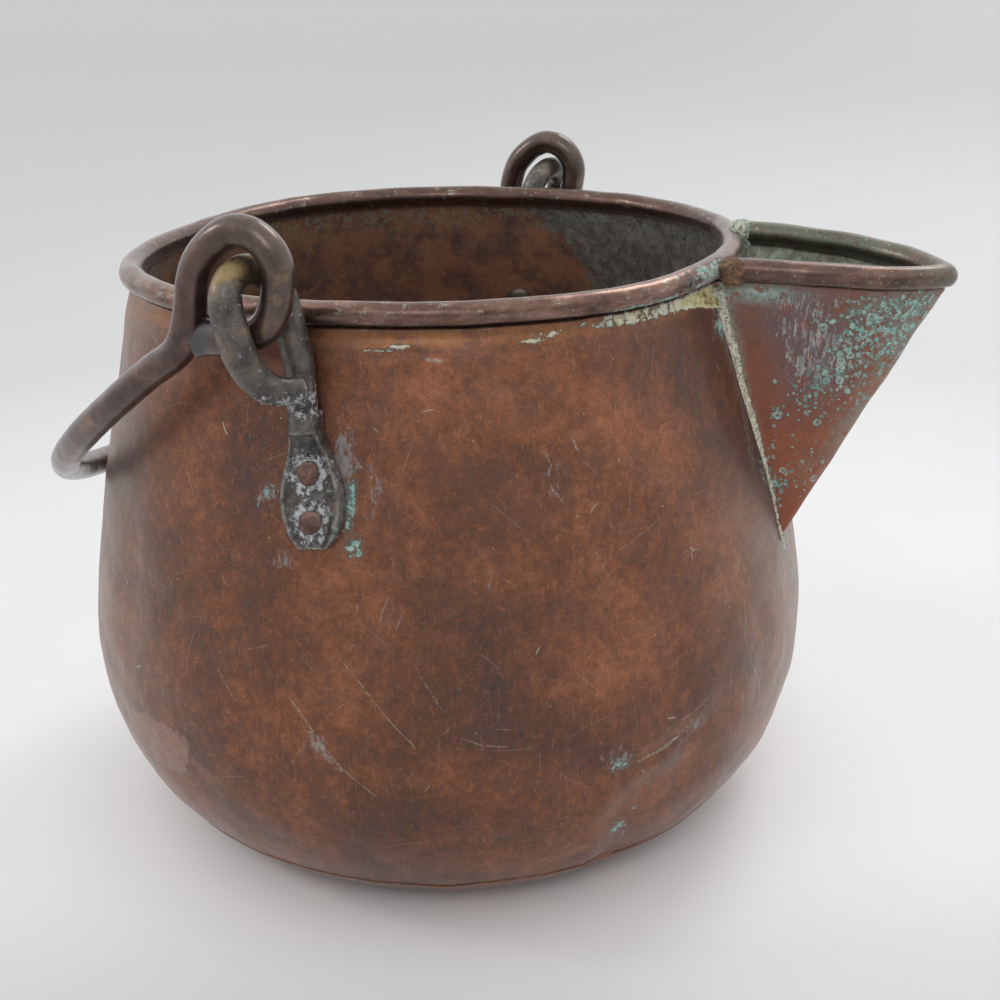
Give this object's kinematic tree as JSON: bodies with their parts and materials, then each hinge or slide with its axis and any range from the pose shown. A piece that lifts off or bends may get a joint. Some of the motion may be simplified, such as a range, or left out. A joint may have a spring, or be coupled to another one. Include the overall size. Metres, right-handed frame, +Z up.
{
  "type": "copper pouring pot with swing bail",
  "caption": "Round-bellied open copper pouring pot with a wired rim, a folded V spout, riveted ears and a swinging bail handle.",
  "frame": {"origin": "centre of the flat foot, at floor level", "axes": "+X from the pot's axis towards the spout, +Y towards the back ear, +Z up"},
  "size_m": [0.353, 0.3195, 0.2689],
  "materials": {
    "copper_wall": "aged copper sheet, brown patina, worn satin",
    "copper_base": "aged copper sheet, brown patina, worn satin",
    "copper_spout": "aged copper sheet with verdigris spots",
    "iron_wire": "bare forged iron, hidden in the rolls",
    "solder": "dull weathered solder with verdigris edges",
    "bronze_ear": "dark grey-brown bronze, worn satin",
    "copper_rivet": "hammered copper rivet heads, brown patina",
    "bail_rod": "dark purple-brown rod, rubbed smooth"
  },
  "bodies": {
    "pot": {"pot_wall": "copper_wall", "base_pan": "copper_base", "rim_wire": "iron_wire", "spout": "copper_spout", "spout_rim_wire": "iron_wire", "spout_solder": "solder", "front_ear": "bronze_ear", "back_ear": "bronze_ear", "front_upper_rivet": "copper_rivet", "front_lower_rivet": "copper_rivet", "back_upper_rivet": "copper_rivet", "back_lower_rivet": "copper_rivet"},
    "bail_handle": {"bail": "bail_rod"}
  },
  "joints": [
    {"name": "bail_swing", "type": "hinge", "parent": "pot", "child": "bail_handle", "pos_m": [-0.01705, -0.14255, 0.2513], "axis": [0.0937, 0.9952, -0.0279], "range_deg": [0, 218]}
  ]
}
